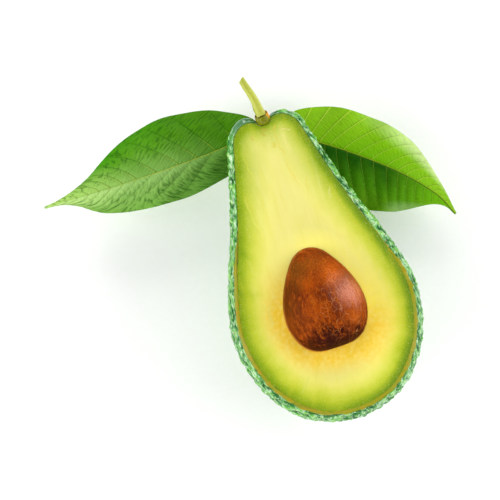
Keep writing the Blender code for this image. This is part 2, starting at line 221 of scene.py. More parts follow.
def smooth_curve(points, steps, turned=False):
    """Points on the curve through the given ones. A turned outline starts and ends square to its axis."""
    given = np.array(points, float)
    if turned:
        before, after = given[1] * (-1, 1), given[-2] * (-1, 1)
    else:
        before, after = 2 * given[0] - given[1], 2 * given[-1] - given[-2]
    held = np.vstack([before, given, after])
    t = np.arange(steps)[:, None] / steps
    made = []
    for a, b, c, d in zip(held, held[1:], held[2:], held[3:]):
        bend = (2 * a - 5 * b + 4 * c - d) * t**2 + (3 * b - a - 3 * c + d) * t**3
        made.append((2 * b + (c - a) * t + bend) / 2)
    return np.vstack([*made, given[-1:]])


def unit(vectors):
    return vectors / np.linalg.norm(vectors, axis=-1, keepdims=True)


def steps_of(curve):
    """The length of each step from a point of a curve to the next."""
    return np.linalg.norm(np.diff(curve, axis=0), axis=1)


def follow(curve, shares):
    """The places and unit headings at shares of a curve's length."""
    marks = np.concatenate([[0.0], np.cumsum(steps_of(curve))])
    marks /= marks[-1]
    slopes = unit(np.gradient(curve, marks, axis=0))
    places = np.stack([np.interp(shares, marks, axis) for axis in curve.T], axis=-1)
    return places, unit(np.stack([np.interp(shares, marks, axis) for axis in slopes.T], axis=-1))


def smoothstep(value, low, high):
    t = np.clip((value - low) / (high - low), 0.0, 1.0)
    return t * t * (3 - 2 * t)


FRUIT_CURVE = smooth_curve(FRUIT_OUTLINE, OUTLINE_STEPS, turned=True)


def turned_points(curve, directions, sunk):
    """Points of a body turned about Y, in directions from its middle and sunk below its outside."""
    places, headings = follow(curve, np.arccos(np.clip(-directions[..., 1], -1, 1)) / math.pi)
    width = places[..., 0] - sunk * headings[..., 1]
    along = places[..., 1] + sunk * headings[..., 0]
    side, _, rise = np.moveaxis(directions, -1, 0)
    radius = np.hypot(side, rise) + 1e-12
    return np.stack([width * side / radius, along, width * rise / radius], axis=-1)


def fruit_surface(directions, sunk):
    """The fruit's surface, laid down on its fuller back, with the flatter side that is cut away on top."""
    across, along, rise = np.moveaxis(turned_points(FRUIT_CURVE, directions, sunk), -1, 0)
    middle = AXIS_HEIGHT + NECK_RISE * smoothstep(along, *NECK_RISE_SPAN)
    fuller = 1 + BACK_FULLNESS * np.exp(-(((along - BACK_FULLEST_ALONG) / BACK_FULLNESS_SPREAD) ** 2))
    height = middle + rise * np.where(rise > 0, FRONT_FLATNESS, fuller)
    return np.stack([across, along - REST_ALONG, np.maximum(height, 0.0)], axis=-1)


def points_of(piece):
    places = np.empty(len(piece.data.vertices) * 3)
    piece.data.vertices.foreach_get("co", places)
    return places.reshape(-1, 3)


def move_points(piece, places):
    piece.data.vertices.foreach_set("co", np.asarray(places, np.float32).ravel())
    piece.data.update()


def give_attribute(piece, name, values):
    made = piece.data.attributes.new(name, "FLOAT", "POINT")
    made.data.foreach_set("value", np.asarray(values, np.float32))


def ball(name, fineness):
    """A cube with finely parted sides, and the direction of each of its points when it is blown up round."""
    piece = add_object(name, bpy.ops.mesh.primitive_cube_add, size=2)
    bpy.ops.object.mode_set(mode="EDIT")
    for cuts in fineness:
        if cuts:
            bpy.ops.mesh.subdivide(number_cuts=cuts)
    bpy.ops.object.mode_set(mode="OBJECT")
    return piece, unit(np.tan(points_of(piece) * math.pi / 4))


def choose(*pieces):
    """Selects these pieces alone, with the first one active."""
    bpy.ops.object.select_all(action="DESELECT")
    for piece in pieces:
        piece.select_set(True)
    bpy.context.view_layer.objects.active = pieces[0]


def take_away(piece, cutter):
    """Cuts the cutter's shape out of the piece and throws the cutter away."""
    choose(piece)
    boolean = piece.modifiers.new("cut", "BOOLEAN")
    boolean.operation = "DIFFERENCE"
    boolean.solver = "EXACT"
    boolean.object = cutter
    bpy.ops.object.modifier_apply(modifier="cut")
    bpy.data.objects.remove(cutter)


def wrapped(name, rings):
    """A grid laid over rings of points, with its sides joined. A ring that is one point closes an end."""
    rows, columns = rings.shape[0] - 1, rings.shape[1]
    grid = {"x_subdivisions": columns, "y_subdivisions": rows, "size": 2}
    piece = add_object(name, bpy.ops.mesh.primitive_grid_add, **grid)
    flat = points_of(piece)
    column = np.rint((flat[:, 0] + 1) / 2 * columns).astype(int) % columns
    row = np.rint((flat[:, 1] + 1) / 2 * rows).astype(int)
    move_points(piece, rings[row, column])
    bpy.ops.object.mode_set(mode="EDIT")
    bpy.ops.mesh.select_all(action="SELECT")
    bpy.ops.mesh.remove_doubles(threshold=0.000001)
    bpy.ops.mesh.normals_make_consistent(inside=False)
    bpy.ops.object.mode_set(mode="OBJECT")
    return piece


def turned_rings(curve, columns, sunk=0.0):
    """Rings of a body turned about Y, from its first end to its other."""
    outline = curve.copy()
    slopes = follow(curve, np.linspace(0, 1, len(curve)))[1]
    outline[1:-1] += sunk * np.stack([-slopes[1:-1, 1], slopes[1:-1, 0]], axis=-1)
    outline[0, 1] += sunk
    outline[-1, 1] -= sunk
    outline[0, 0] = outline[-1, 0] = 0.0
    around = np.arange(columns) / columns * 2 * math.pi
    width, along = outline[:, :1], np.repeat(outline[:, 1:], columns, axis=1)
    return np.stack([width * np.cos(around), along, width * np.sin(around)], axis=-1)


def tree_of(points):
    """A search tree of points, which are numbered in order."""
    tree = kdtree.KDTree(len(points))
    for index, point in enumerate(points):
        tree.insert(point, index)
    tree.balance()
    return tree


def settle(piece, node, sharp):
    """Shades a finished piece, puts it on the frame and hides the CAD node that it stands for."""
    choose(piece)
    bpy.ops.object.shade_smooth_by_angle(angle=math.radians(sharp))
    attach(piece, "root")
    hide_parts(node)


draw = np.random.default_rng(PEBBLE_SEED)
turn = math.pi * (3 - math.sqrt(5)) * np.arange(PEBBLE_TRIES)
level = draw.permutation(1 - 2 * (np.arange(PEBBLE_TRIES) + 0.5) / PEBBLE_TRIES)
wide = np.sqrt(1 - level * level)
tries = np.stack([wide * np.cos(turn), level, wide * np.sin(turn)], axis=-1)
tree = tree_of(fruit_surface(tries, 0.0))
kept = np.zeros(PEBBLE_TRIES, bool)
for index, place in enumerate(fruit_surface(tries, 0.0)):
    near = tree.find_range(place, draw.uniform(*PEBBLE_GAPS))
    kept[index] = not any(kept[other] for _, other, _ in near)
pebbles = fruit_surface(tries[kept], 0.0)
square = unit(pebbles - fruit_surface(tries[kept], PEBBLE_DEPTH))
north = unit(np.array((0.0, 1.0, 1e-6)) - square[:, 1:2] * square)
slant = np.radians(draw.uniform(*PEBBLE_SLANTS, len(pebbles)))[:, None]
pebble_runs = np.cos(slant) * north + np.sin(slant) * np.cross(square, north)
pebble_sizes = draw.uniform(*PEBBLE_SIZES, len(pebbles))
pebble_heights = draw.uniform(*PEBBLE_HEIGHTS, len(pebbles))
pebble_dots = draw.uniform(*DOT_STRENGTHS, len(pebbles)) * (draw.random(len(pebbles)) < DOT_SHARE)
tree = tree_of(pebbles)

skin, directions = ball("pebbled_skin", SKIN_FINENESS)
smooth = fruit_surface(directions, 0.0)
near = np.array([[index for _, index, _ in tree.find_n(place, PEBBLE_NEIGHBOURS)] for place in smooth])
offset = smooth[:, None] - pebbles[near]
run = (offset * pebble_runs[near]).sum(axis=-1)
across = np.sqrt(np.maximum((offset**2).sum(axis=-1) - run**2, 0.0))
reach = np.hypot(run / PEBBLE_HALF_LENGTH, across / PEBBLE_HALF_WIDTH) / pebble_sizes[near]
domes = pebble_heights[near] * np.maximum(0.0, 1 - reach**2) ** 1.5
height = 1 - np.prod(1 - domes, axis=1)
tip = run + DOT_PLACE * PEBBLE_HALF_LENGTH * pebble_sizes[near]
dot = (pebble_dots[near] * np.maximum(0.0, 1 - np.hypot(tip, across) / DOT_RADIUS)).max(axis=1)
along = smooth[:, 1] + REST_ALONG
pebbly = smoothstep(np.linalg.norm(smooth - SMOOTH_PLACE, axis=1), *SMOOTH_REACH)
pebbly = SMOOTH_PEBBLES + (1 - SMOOTH_PEBBLES) * pebbly
depth = CUT_HEIGHT - smooth[:, 2]
neck = np.interp(smooth[:, 0], NECK_SIDES, NECK_STARTS)
neck = smoothstep(along, neck, neck + NECK_REACH)
rolled = neck * smoothstep(smooth[:, 2], CUT_HEIGHT - ROLL_DEPTH, CUT_HEIGHT)
lipped = LIP_PEBBLES + (1 - LIP_PEBBLES) * np.maximum(neck, smoothstep(depth, *LIP_DEPTH))
sunk = PEBBLE_DEPTH * pebbly * lipped * (1 - height) * (1 - ROLL_EASING * rolled) - PEBBLE_LIFT * (1 - rolled)
sunk = np.minimum(sunk + rolled * (SKIN_THICKNESS - NECK_EDGE), SKIN_THICKNESS - SKIN_THINNEST)
swollen = smoothstep(depth, *SHOULDER_DEPTHS[:2]) * (1 - smoothstep(depth, *SHOULDER_DEPTHS[2:]))
for place, spread, swell in SHOULDERS:
    sunk -= swell * swollen * np.exp(-(((smooth[:, 0] - place) / spread) ** 2)) * (along > SHOULDERS_FROM)
move_points(skin, fruit_surface(directions, sunk))
give_attribute(skin, "rise", 0.5 + (height - 0.5) * pebbly)
give_attribute(skin, "dot", dot * pebbly)
give_attribute(skin, "pebbly", pebbly)

bpy.ops.object.mode_set(mode="EDIT")
bpy.ops.mesh.select_all(action="SELECT")
bpy.ops.mesh.bisect(plane_co=(0, 0, CUT_HEIGHT), plane_no=(0, 0, 1), use_fill=True, clear_outer=True)
bpy.ops.object.mode_set(mode="OBJECT")
hollow, directions = ball("skin_hollow", HOLLOW_FINENESS)
inside = fruit_surface(directions, SKIN_THICKNESS)
inside[:, 2] = np.maximum(inside[:, 2], SKIN_AT_REST)
move_points(hollow, inside)
take_away(skin, hollow)


def tinted(material, paint, tint, value, start, end, share=1.0, within=None):
    """A paint with a tint over it, from none where a value is at its start to a share of it at its end.

    Within is another value, from 0 to 1, that thins the tint further.
    """
    cover = add_node(material, "MapRange", value, start, end, 0.0, share)
    if within:
        cover = add_node(material, "Math", cover, within, operation="MULTIPLY")
    return add_node(material, "Mix", cover, paint, tint)


# Avocado peel, waxy as grown: deep green in the valleys, partly as painted shade, and fresher green on the
# pebbles, half of which have a yellow or rust dot near one end. A pale sheen lies where it catches the light,
# and pale smears up its sides are partly a bloom of wax and partly a painted sheen. Near the stem it turns
# smoother and bluer.
peel, spot = empty_tree(bpy.data.materials.new("waxy_avocado_peel"))
_, _, z = add_node(peel, "SeparateXYZ", spot).outputs
raised, dotted, bumpy = [
    add_node(peel, "Attribute", attribute_name=name).outputs["Fac"] for name in ("rise", "dot", "pebbly")
]
mottle = add_node(peel, "TexNoise", spot, 1 / 0.005, 4.0)
fine = add_node(peel, "TexNoise", spot, 1 / 0.0007, 4.0)
uneven = add_node(peel, "Math", fine, 1.2, -0.6, operation="MULTIPLY_ADD")
level = add_node(peel, "Math", raised, uneven, operation="ADD")
# The greens run from the valleys to the pebble tops. Their dark valleys are partly painted shade.
greens_with_valley_shade = ((0.0, "#0c4a0e"), (0.2, "#186a0c"), (0.45, "#308a08"), (0.7, "#4da00c"), (1.0, "#78b828"))
paint = add_node(peel, "ValToRGB", level, stops=greens_with_valley_shade)
paint = tinted(peel, paint, "#1a7030", mottle, 0.45, 0.7, 0.3)
# Pale smears up the sides, strongest near the cut: partly a bloom of wax and partly a painted sheen for the
# gloss.
drawn = add_node(peel, "Mapping", {"Vector": spot, "Scale": (1.0, 0.5, 1.0)})
wax_bloom_and_sheen = add_node(peel, "TexNoise", drawn, 1 / 0.0012, 4.0, 0.6)
upper = add_node(peel, "MapRange", z, CUT_HEIGHT - 0.02, CUT_HEIGHT - 0.005, 0.14, 0.75)
paint = tinted(peel, paint, "#b0d6a4", wax_bloom_and_sheen, 0.52, 0.62, within=upper)
paint = tinted(peel, paint, "#2e6a3c", bumpy, 0.9, 0.2, 0.8)
warm = add_node(peel, "ValToRGB", mottle, stops=((0.48, "#9ab40c"), (0.6, "#8a3c08")))
paint = tinted(peel, paint, warm, dotted, 0.1, 0.5, 0.8)
waxed = add_node(peel, "MapRange", level, 0.0, 0.5, 0.1)
gloss = add_node(peel, "MapRange", waxed, 0.0, 1.0, 0.7, 0.38)
relief = add_node(peel, "Bump", {"Height": fine, "Strength": 1.0, "Distance": 0.0003})
waxy = {"Base Color": paint, "Roughness": gloss, "Normal": relief, "IOR": 1.48, "Specular IOR Level": 0.05}
waxy |= {"Coat Weight": waxed, "Coat IOR": 1.7, "Coat Roughness": 0.14}
add_node(peel, "OutputMaterial", add_node(peel, "BsdfPrincipled", waxy))

# The peel where the knife went through it: damp and olive yellow, greener where it thins towards the stem.
peel_edge, spot = empty_tree(bpy.data.materials.new("cut_avocado_peel"))
_, y, _ = add_node(peel_edge, "SeparateXYZ", spot).outputs
fleck = add_node(peel_edge, "TexNoise", spot, 1 / 0.0015)
olives = ((0.3, "#848e08"), (0.55, "#969408"), (0.75, "#aa860e"))
paint = add_node(peel_edge, "ValToRGB", fleck, stops=olives)
paint = tinted(peel_edge, paint, "#3f7420", y, 0.030, 0.042)
damp = {"Base Color": paint, "Roughness": 0.5, "IOR": 1.4}
add_node(peel_edge, "OutputMaterial", add_node(peel_edge, "BsdfPrincipled", damp))

skin.data.materials.append(peel)
skin.data.materials.append(peel_edge)
for face in skin.data.polygons:
    if face.normal.z > 0.99 and face.center.z > CUT_HEIGHT - 0.00001:
        face.material_index = 1
button_side = smooth_curve((*BUTTON_OUTLINE, (0.0, BUTTON_OUTLINE[-1][1])), 6)
socket = turned_rings(button_side, SOCKET_COLUMNS, -SOCKET_CLEARANCE) + BUTTON_PLACE
take_away(skin, wrapped("button_socket", socket))
settle(skin, "skin", 60)

# Flesh
# The soft flesh, cut with one stroke of a knife: pale yellow, golden round the seed and green under the skin.
# Its edge and the lip of the seed's hollow are a little rounded, and fine fibres run out from the seed.
FLESH_INSET = 0.00123
FLESH_AT_REST = 0.0009  # its height over the flat spot
FLESH_COLUMNS = 720
EDGE_ROUNDING = 0.00025
LIP_ROUNDING = 0.00015
ROUNDING_ANGLES = np.radians((22.5, 45, 67.5))
FACE_STEPS = (0.0, 0.012, 0.03, 0.06, 0.10, *np.linspace(0.14, 0.86, 26), 0.90, 0.94, 0.97, 0.988, 1.0)
WALL_STEPS = 16
WALL_CROWDING = 1.3  # of the outer wall's steps towards the cut
UNDULATION = 0.00008
UNDULATION_LENGTHS = (0.009, 0.0035)  # of its broad and its finer waves
SEED_OUTLINE = (  # half width, and place along the seed
    (0.0, 0.0), (0.0072, 0.0006), (0.0119, 0.0042), (0.0144, 0.0106), (0.0143, 0.0168), (0.0123, 0.0235),
    (0.0090, 0.0297), (0.0051, 0.0346), (0.0, 0.0366),
)
SEED_PLACE = np.array((-0.0001, 0.0262 - REST_ALONG, CUT_HEIGHT - 0.0021))
SEED_MIDDLE = SEED_PLACE + (0.0, 0.0165, 0.0)
SEED_CORE = 0.012  # from the seed's middle, within which all flesh is in its hollow
SEED_CLEARANCE = 0.00001
SEED_CURVE = smooth_curve(SEED_OUTLINE, OUTLINE_STEPS, turned=True)
FIBRE_TURN = 0.02  # how far the fibres' pattern runs round the seed, as a radius
FIBRE_STRETCH = 0.12  # how far it runs outwards for each metre of flesh
VESSELS = (  # sap vessels that the knife met: middle, degrees from +Y, half length and width, strength, tint
    ((0.0031, 0.0558), 5, (0.0050, 0.0004), 0.4, "#d6b828"),
    ((0.0044, 0.0445), 10, (0.0060, 0.0004), 0.4, "#dcc030"),
    ((0.0078, 0.0385), -14, (0.0034, 0.0004), 0.4, "#dcc030"),
    ((0.0145, 0.0340), -12, (0.0024, 0.0004), 0.5, "#ddd88a"),
    ((-0.0098, 0.0515), 10, (0.0060, 0.0004), 0.4, "#dcd844"),
    ((-0.0135, 0.0320), 10, (0.0110, 0.0004), 0.4, "#e6e06a"),
    ((0.0014, 0.0560), 0, (0.0012, 0.0012), 0.5, "#cdb91e"),
    ((0.0068, 0.0600), 68, (0.0022, 0.0004), 0.6, "#dccf86"),
    ((-0.0004, 0.0622), 60, (0.0013, 0.0005), 0.6, "#cfa048"),
    ((0.0034, 0.0618), -30, (0.0015, 0.0006), 0.5, "#d8b848"),
    ((-0.0014, 0.0608), 20, (0.0012, 0.0005), 0.5, "#b8963a"),
    ((-0.0052, 0.0606), 30, (0.0009, 0.0006), 0.4, "#c9a048"),
    ((-0.0188, -0.0010), 4, (0.0030, 0.0003), 0.6, "#d8dc80"),
    ((-0.0192, 0.0130), 6, (0.0050, 0.0003), 0.4, "#ccd468"),
    ((0.0222, 0.0010), -12, (0.0022, 0.0003), 0.5, "#d4dc7c"),
    ((-0.0150, -0.0270), -40, (0.0040, 0.0005), 0.35, "#ccd06a"),
)


def seed_surface(directions, sunk):
    return turned_points(SEED_CURVE, directions, sunk) + SEED_PLACE


def level_directions(surface, sunk, compass, height):
    """For each compass heading, the direction in which the surface reaches a height."""
    low = np.full(len(compass), -math.pi / 2)
    high = -low
    for _ in range(40):
        tilt = (low + high) / 2
        level = np.cos(tilt)
        directions = np.stack([level * np.cos(compass), level * np.sin(compass), np.sin(tilt)], axis=-1)
        above = surface(directions, sunk)[:, 2] > height
        high = np.where(above, tilt, high)
        low = np.where(above, low, tilt)
    return directions


def tilted(directions, share):
    """Directions turned towards straight down by a share."""
    return unit((1 - share) * directions + share * np.array((0.0, 0.0, -1.0)))


def outward(ring):
    """Level unit vectors that point out of a ring, which runs anticlockwise seen from above."""
    run = np.roll(ring, -1, axis=0) - np.roll(ring, 1, axis=0)
    return unit(np.stack([run[:, 1], -run[:, 0], np.zeros(len(ring))], axis=-1))


def bearings(places):
    """Their compass bearings from the seed's middle."""
    return np.arctan2(places[:, 1] - SEED_MIDDLE[1], places[:, 0] - SEED_MIDDLE[0])


compass = np.linspace(-math.pi, math.pi, 4001)
dense = fruit_surface(level_directions(fruit_surface, FLESH_INSET, compass, CUT_HEIGHT), FLESH_INSET)
marks = np.concatenate([[0.0], np.cumsum(steps_of(dense))])
even = np.interp(np.arange(FLESH_COLUMNS) / FLESH_COLUMNS * marks[-1], marks, compass)
wall = level_directions(fruit_surface, FLESH_INSET, even, CUT_HEIGHT - EDGE_ROUNDING)
edge = fruit_surface(wall, FLESH_INSET)
edge_out = outward(edge)
bearing = np.unwrap(bearings(edge))
hollow_side = level_directions(seed_surface, -SEED_CLEARANCE, compass, CUT_HEIGHT - LIP_ROUNDING)
lip_line = seed_surface(hollow_side, -SEED_CLEARANCE)
lip_bearing = np.unwrap(bearings(lip_line))
turn = 2 * math.pi * np.floor((bearing - lip_bearing[0]) / (2 * math.pi))
lip_compass = np.interp(bearing - turn, lip_bearing, compass)
lip_side = level_directions(seed_surface, -SEED_CLEARANCE, lip_compass, CUT_HEIGHT - LIP_ROUNDING)
lip = seed_surface(lip_side, -SEED_CLEARANCE)
lip_out = outward(lip)

upright = np.array((0, 0, 1))
rings = []
for share in np.linspace(1.0, 0.0, WALL_STEPS):
    rings.append(seed_surface(tilted(lip_side, share), -SEED_CLEARANCE))
for angle in ROUNDING_ANGLES:
    rings.append(lip + LIP_ROUNDING * ((1 - math.cos(angle)) * lip_out + math.sin(angle) * upright))
inner = lip + LIP_ROUNDING * (lip_out + upright)
outer = edge - EDGE_ROUNDING * (edge_out - upright)
for share in FACE_STEPS:
    ring = (1 - share) * inner + share * outer
    for point in ring:
        broad, finer = [noise.noise(Vector(point) / length) for length in UNDULATION_LENGTHS]
        point[2] += UNDULATION * (broad + 0.4 * finer) * min(1.0, 8 * share, 8 * (1 - share))
    rings.append(ring)
for angle in ROUNDING_ANGLES[::-1]:
    rings.append(edge - EDGE_ROUNDING * ((1 - math.cos(angle)) * edge_out - math.sin(angle) * upright))
for share in np.linspace(0.0, 1.0, WALL_STEPS) ** WALL_CROWDING:
    ring = fruit_surface(tilted(wall, share), FLESH_INSET)
    ring[:, 2] = np.maximum(ring[:, 2], FLESH_AT_REST)
    rings.append(ring)
rings = np.array(rings)
rings[0] = rings[0].mean(axis=0)
rings[-1] = rings[-1].mean(axis=0)
flesh = wrapped("cut_flesh", rings)
take_away(flesh, wrapped("button_socket", socket))

edge_tree = tree_of(dense * (1, 1, 0))
lip_tree = tree_of(lip_line * (1, 1, 0))
places = points_of(flesh)
from_skin = np.array([edge_tree.find((x, y, 0))[2] for x, y, _ in places])
from_seed = np.array([lip_tree.find((x, y, 0))[2] for x, y, _ in places])
in_hollow = np.hypot(*(places - SEED_MIDDLE)[:, :2].T) < SEED_CORE
give_attribute(flesh, "from_skin", from_skin)
give_attribute(flesh, "from_seed", np.where(in_hollow, 0.0, from_seed))
around = bearings(places)
fibre = flesh.data.attributes.new("fibre", "FLOAT_VECTOR", "POINT")
run = [FIBRE_TURN * np.cos(around), FIBRE_TURN * np.sin(around), FIBRE_STRETCH * from_seed]
fibre.data.foreach_set("vector", np.stack(run, axis=-1).astype(np.float32).ravel())

# Ripe avocado flesh, freshly cut and moist: colour changes smoothly from skin to seed, and faint fibres and
# flecks keep it from looking like wax. Its gloss is low and broken by the knife's drag. Shade is painted
# along its rounded edge and over the neck, and light is painted round the seed.
pulp, spot = empty_tree(bpy.data.materials.new("cut_avocado_flesh"))
x, y, _ = add_node(pulp, "SeparateXYZ", spot).outputs
near_skin = add_node(pulp, "Attribute", attribute_name="from_skin").outputs["Fac"]
near_seed = add_node(pulp, "Attribute", attribute_name="from_seed").outputs["Fac"]
strands = add_node(pulp, "Attribute", attribute_name="fibre").outputs["Vector"]
along_it = add_node(pulp, "Mapping", {"Vector": spot, "Scale": (1.0, 0.16, 1.0)})
cloud = add_node(pulp, "TexNoise", spot, 1 / 0.006, 3.0)
grain = add_node(pulp, "TexNoise", spot, 1 / 0.0006, 2.0)
broad = add_node(pulp, "TexNoise", strands, 1 / 0.0035, 2.0)
radial = add_node(pulp, "TexNoise", strands, 1 / 0.0022, 3.0)
lengthwise = add_node(pulp, "TexNoise", along_it, 1 / 0.0022, 4.0)
upper = add_node(pulp, "MapRange", y, -0.016, 0.002)
streak = add_node(pulp, "Mix", upper, radial, lengthwise, data_type="FLOAT")
drift = add_node(pulp, "Math", cloud, 0.0030, -0.0015, operation="MULTIPLY_ADD")
drift = add_node(pulp, "Math", broad, 0.0024, drift, operation="MULTIPLY_ADD")
neck = add_node(pulp, "MapRange", y, 0.012, 0.05)
greener = add_node(pulp, "Math", neck, -18, 1 / 0.014, operation="MULTIPLY_ADD")
depth = add_node(pulp, "Math", near_skin, drift, operation="ADD")
depth = add_node(pulp, "Math", depth, greener, operation="MULTIPLY")
skinward = ((0.02, "#769208"), (0.09, "#7c970a"), (0.15, "#86a00e"), (0.22, "#96ad18"), (0.31, "#adbb28"))
seedward = ((0.42, "#c0c93a"), (0.56, "#d6d654"), (0.75, "#e7e070"), (1.0, "#e7de7c"))
body = add_node(pulp, "ValToRGB", depth, stops=skinward + seedward)
inner = add_node(pulp, "MapRange", near_skin, 0.002, 0.008)
# Painted shade: a duller cream over the neck, inside its green edge, tones the neck down.
high = add_node(pulp, "Math", neck, inner, operation="MULTIPLY")
high = add_node(pulp, "Math", high, 0.45, operation="MULTIPLY")
body = add_node(pulp, "Mix", high, body, "#d6d28a")
# Painted light: a pale cream round the seed, most on its right, lifts the shade that the seed casts on the
# flesh.
most = add_node(pulp, "MapRange", x, -0.006, 0.008, 0.35, 0.95)
body = tinted(pulp, body, "#fff678", near_seed, 0.0075, 0.001, most)
# Painted shade: a darker green along the rounded edge of the flesh, strongest on the right.
shaded = add_node(pulp, "MapRange", x, -0.006, 0.014, 0.25)
body = tinted(pulp, body, "#597f1c", near_skin, 0.0032, 0.0004, 0.75, within=shaded)
reach = add_node(pulp, "MapRange", x, -0.014, 0.014, 1.2, 0.85)
warmth = add_node(pulp, "Math", near_seed, reach, operation="MULTIPLY")
warmth = add_node(pulp, "MapRange", warmth, 0.0122, 0.0005, interpolation_type="SMOOTHSTEP")
slanted = add_node(pulp, "Math", x, 0.4, y, operation="MULTIPLY_ADD")
stemward = add_node(pulp, "MapRange", slanted, 0.013, -0.008)
warmth = add_node(pulp, "Math", warmth, stemward, operation="MULTIPLY")
patchy = add_node(pulp, "MapRange", broad, 0.3, 0.7, 1.0, 1.5)
warmth = add_node(pulp, "Math", warmth, patchy, operation="MULTIPLY", use_clamp=True)
gold = tinted(pulp, "#f4cb34", "#ffec52", x, -0.008, 0.014)
gold = tinted(pulp, gold, "#f6cb38", y, -0.006, -0.016)
ripe = add_node(pulp, "TexNoise", spot, 1 / 0.0016, 5.0)
gold = tinted(pulp, gold, "#ffe87e", ripe, 0.44, 0.66, 0.4)
paint = add_node(pulp, "Mix", warmth, body, gold)
paint = tinted(pulp, paint, "#d8cc34", streak, 0.52, 0.75, 0.22)
most = add_node(pulp, "MapRange", upper, 0.0, 1.0, 0.14, 0.35)
paint = tinted(pulp, paint, "#ece48e", streak, 0.46, 0.28, most, within=inner)
paint = tinted(pulp, paint, "#e6e08c", grain, 0.5, 0.75, 0.2)
waver = add_node(pulp, "TexNoise", spot, 1 / 0.004)
waver = add_node(pulp, "Math", waver, 0.003, -0.0015, operation="MULTIPLY_ADD")
for place, heading, (reach, width), share, tint in VESSELS:
    laid = {"Vector": spot, "Location": (*place, 0), "Rotation": (0, 0, math.radians(heading))}
    laid = add_node(pulp, "Mapping", laid, vector_type="TEXTURE")
    off, end, _ = add_node(pulp, "SeparateXYZ", laid).outputs
    off = add_node(pulp, "Math", off, waver, operation="ADD")
    off = add_node(pulp, "Math", off, operation="ABSOLUTE")
    end = add_node(pulp, "Math", end, operation="ABSOLUTE")
    end = add_node(pulp, "MapRange", end, reach, reach * 0.6)
    paint = tinted(pulp, paint, tint, off, width, 0.0, share, within=end)
drag = add_node(pulp, "Math", streak, grain, operation="ADD")
relief = add_node(pulp, "Bump", {"Height": drag, "Strength": 0.25, "Distance": 0.0001})
gloss = add_node(pulp, "MapRange", cloud, 0.0, 1.0, 0.34, 0.52)
moist = {"Base Color": paint, "Roughness": gloss, "Normal": relief, "IOR": 1.4, "Specular IOR Level": 0.2}
add_node(pulp, "OutputMaterial", add_node(pulp, "BsdfPrincipled", moist))
flesh.data.materials.append(pulp)
settle(flesh, "flesh", 50)

# Seed
# One big woody seed in its thin brown coat, blunt at the blossom end and drawn to a point at the other. It
# grew in the hollow and half of it stands out. The dry coat is worn to orange in patches and finely cracked.
SEED_COLUMNS = 180
SEED_STEPS = 14
SEED_LUMPS = 0.00028
LUMP_LENGTHS = (0.0085, 0.0032)  # of its broad and its finer lumps
LUMP_START = Vector((3.1, 0.7, 5.2))
LUMP_LEVELS = (0.0003, 0.0035)  # off the cut's height, over which they come in, so that the hollow still fits
COAT_PATCHES_AND_HIGHLIGHT = (  # across and along from the seed's middle, full and outer radius, strength, tint
    ((-0.0034, 0.0076), (0.0004, 0.0036), 0.7, "#bc5404"),
    ((0.0052, 0.0084), (0.0010, 0.0056), 0.8, "#cc6212"),
    ((-0.0040, -0.0030), (0.0006, 0.0056), 0.6, "#b04e08"),
    # A painted highlight: a pale salmon patch where the seed's right flank catches the light.
    ((0.0096, -0.0005), (0.0020, 0.0060), 0.7, "#d4744a"),
    ((-0.0040, -0.0104), (0.0012, 0.0058), 0.9, "#260400"),
    ((0.0000, -0.0140), (0.0010, 0.0056), 0.8, "#2c0600"),
    ((0.0082, -0.0085), (0.0010, 0.0050), 0.65, "#b4560e"),
    ((-0.0062, 0.0130), (0.0020, 0.0066), 0.6, "#74480c"),
    ((0.0004, 0.0138), (0.0006, 0.0048), 0.5, "#ac5c0e"),
)
PATCH_HEIGHT = 0.003  # above the seed's middle, with heights drawn in to three tenths
COAT_SHINE = ((0.0092, 0.0015), (0.0020, 0.0085))  # where it is oiled most
COAT_CRACKS = ((0.0058, -0.0050), (0.0070, 0.0130))  # where its net of cracks is

rings = turned_rings(smooth_curve(SEED_OUTLINE, SEED_STEPS, turned=True), SEED_COLUMNS) + SEED_PLACE
for ring in rings[1:-1]:
    for point in ring:
        away = Vector(point - SEED_MIDDLE).normalized()
        lump = noise.noise(Vector(point) / LUMP_LENGTHS[0] + LUMP_START)
        lump += 0.35 * noise.noise(Vector(point) / LUMP_LENGTHS[1])
        point += np.array(away) * SEED_LUMPS * lump * smoothstep(abs(point[2] - CUT_HEIGHT), *LUMP_LEVELS)
seed = wrapped("seed_in_coat", rings)

# Seed coat, a dry papery skin over wood: warm brown with lengthwise streaks, worn orange, a net of hairline
# cracks with pale lips, a satin gloss from the flesh's oil and a painted highlight on its right flank. Real
# cracks are a few hundredths of a millimetre wide, and these are drawn about 0.15 mm wide so that they show.
coat, spot = empty_tree(bpy.data.materials.new("avocado_seed_coat"))
centred = add_node(coat, "Mapping", {"Vector": spot, "Location": tuple(-SEED_MIDDLE)})
x, y, z = add_node(coat, "SeparateXYZ", centred).outputs
lengthwise = add_node(coat, "Mapping", {"Vector": centred, "Scale": (1.0, 0.3, 1.0)})
flattened = add_node(coat, "Mapping", {"Vector": centred, "Scale": (1.0, 1.0, 0.3)})
blotch = add_node(coat, "TexNoise", lengthwise, 1 / 0.0032, 6.0, 0.65)
streak = add_node(coat, "TexNoise", lengthwise, 1 / 0.0008, 4.0)
speck = add_node(coat, "TexNoise", centred, 1 / 0.0005, 3.0)
both = add_node(coat, "Math", streak, 0.45, -0.22, operation="MULTIPLY_ADD")
both = add_node(coat, "Math", blotch, both, operation="ADD")
browns = ((0.28, "#4a1602"), (0.42, "#6c2802"), (0.52, "#883804"), (0.62, "#9c4608"), (0.78, "#b05a12"))
paint = add_node(coat, "ValToRGB", both, stops=browns)
ragged = add_node(coat, "Math", both, 0.012, -0.006, operation="MULTIPLY_ADD")


def coat_patch(place, radii, share=1.0):
    """A ragged round patch of the seed coat's upper side, faded out from one radius to the other."""
    apart = add_node(coat, "VectorMath", flattened, (*place, PATCH_HEIGHT), operation="DISTANCE")
    apart = add_node(coat, "Math", apart.outputs["Value"], ragged, operation="ADD")
    return add_node(coat, "MapRange", apart, radii[1], radii[0], 0.0, share)
